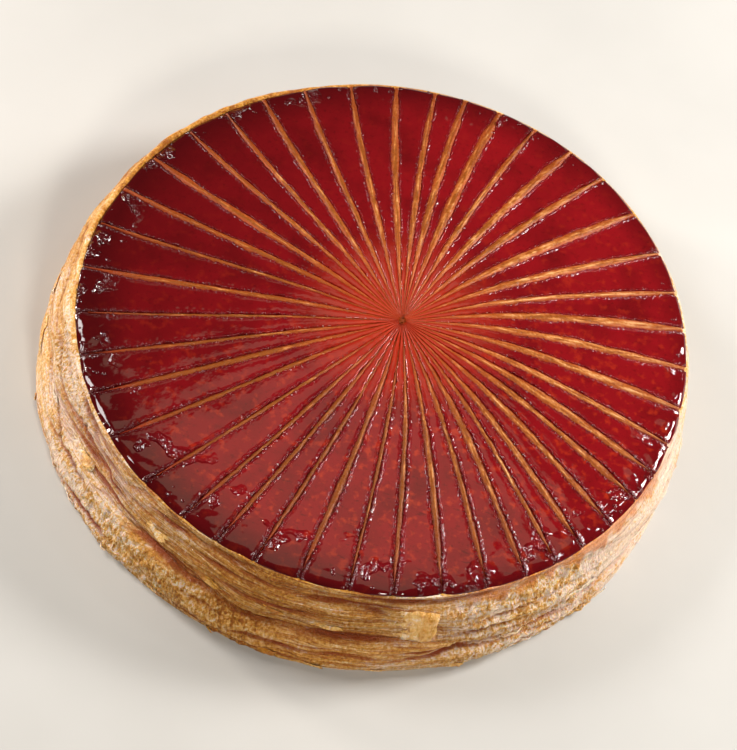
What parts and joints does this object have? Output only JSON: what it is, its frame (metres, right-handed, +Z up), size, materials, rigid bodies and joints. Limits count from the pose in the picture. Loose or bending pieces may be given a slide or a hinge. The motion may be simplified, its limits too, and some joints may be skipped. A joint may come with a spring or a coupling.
{
  "type": "galette des rois",
  "caption": "Round baked puff-pastry cake with a flared, layered edge and a low domed top scored with lines that radiate from near its middle; rests on its flat underside.",
  "frame": {"origin": "middle of the flat underside, under the middle of the outline", "axes": "+Z up out of the glazed face; -Y is the front, the side with the deepest edge; +X to the right"},
  "size_m": [0.249, 0.2544, 0.0438],
  "materials": {
    "pastry": "baked puff pastry, pale cream to golden brown, flaky and dry",
    "glaze": "red-brown fruit and syrup lacquer, wet gloss over browned pastry"
  },
  "bodies": {
    "root": {"galette": "pastry"}
  },
  "joints": []
}
